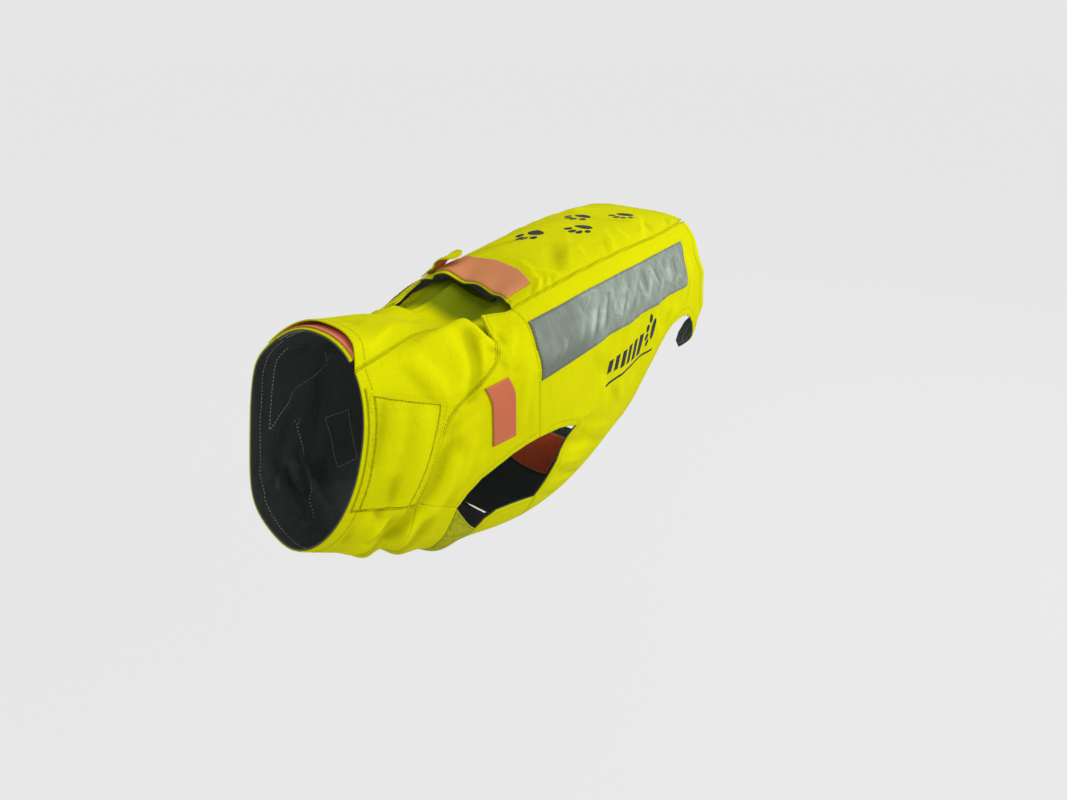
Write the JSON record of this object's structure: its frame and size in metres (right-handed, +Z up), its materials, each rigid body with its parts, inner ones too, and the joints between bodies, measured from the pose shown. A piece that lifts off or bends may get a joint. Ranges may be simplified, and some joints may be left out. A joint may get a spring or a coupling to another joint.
{
  "type": "dog protective vest",
  "caption": "Hollow protective vest for a hunting dog, filled out as worn, with a standing collar, leg openings, reflective side tapes and strips of hook and loop.",
  "frame": {"origin": "on the midline of the back at the inner face, just behind the withers, where the wearer's back holds the vest up", "axes": "-Y toward the neck and +Y toward the rear hem, +X to the dog's left, +Z up"},
  "size_m": [0.2192, 0.5699, 0.3023],
  "materials": {
    "vest_cloth": "matt woven cloth, fluorescent yellow",
    "lining": "matt dark woven lining",
    "gusset_cloth": "crinkled dull yellow-green cloth",
    "reflective_tape": "silver-grey reflective tape with a soft sheen",
    "hook_strip": "orange hook strip",
    "loop_strip": "orange napped loop strip"
  },
  "bodies": {
    "root": {"back_lining": "lining", "back_loop_patch": "loop_strip", "back_panel": "vest_cloth", "belly_hook_patch": "hook_strip", "belly_lining": "lining", "belly_panel": "vest_cloth", "bib": "vest_cloth", "bib_lining": "lining", "chest_gusset": "gusset_cloth", "closing_tab": "vest_cloth", "collar_flap_inner": "vest_cloth", "collar_flap_inner_lining": "lining", "collar_flap_outer": "vest_cloth", "collar_hook_band": "hook_strip", "collar_lining_left": "lining", "collar_lining_right": "lining", "collar_loop_patch": "loop_strip", "collar_side_left": "vest_cloth", "collar_side_right": "vest_cloth", "flank_left": "vest_cloth", "flank_lining_left": "lining", "flank_lining_right": "lining", "flank_right": "vest_cloth", "pocket_left": "vest_cloth", "pocket_right": "vest_cloth", "reflective_tape_left": "reflective_tape", "reflective_tape_right": "reflective_tape", "shoulder_hook_patch_left": "hook_strip", "shoulder_hook_patch_right": "hook_strip", "shoulder_left": "vest_cloth", "shoulder_lining_left": "lining", "shoulder_lining_right": "lining", "shoulder_right": "vest_cloth", "tab_hook_patch": "hook_strip"}
  },
  "joints": []
}
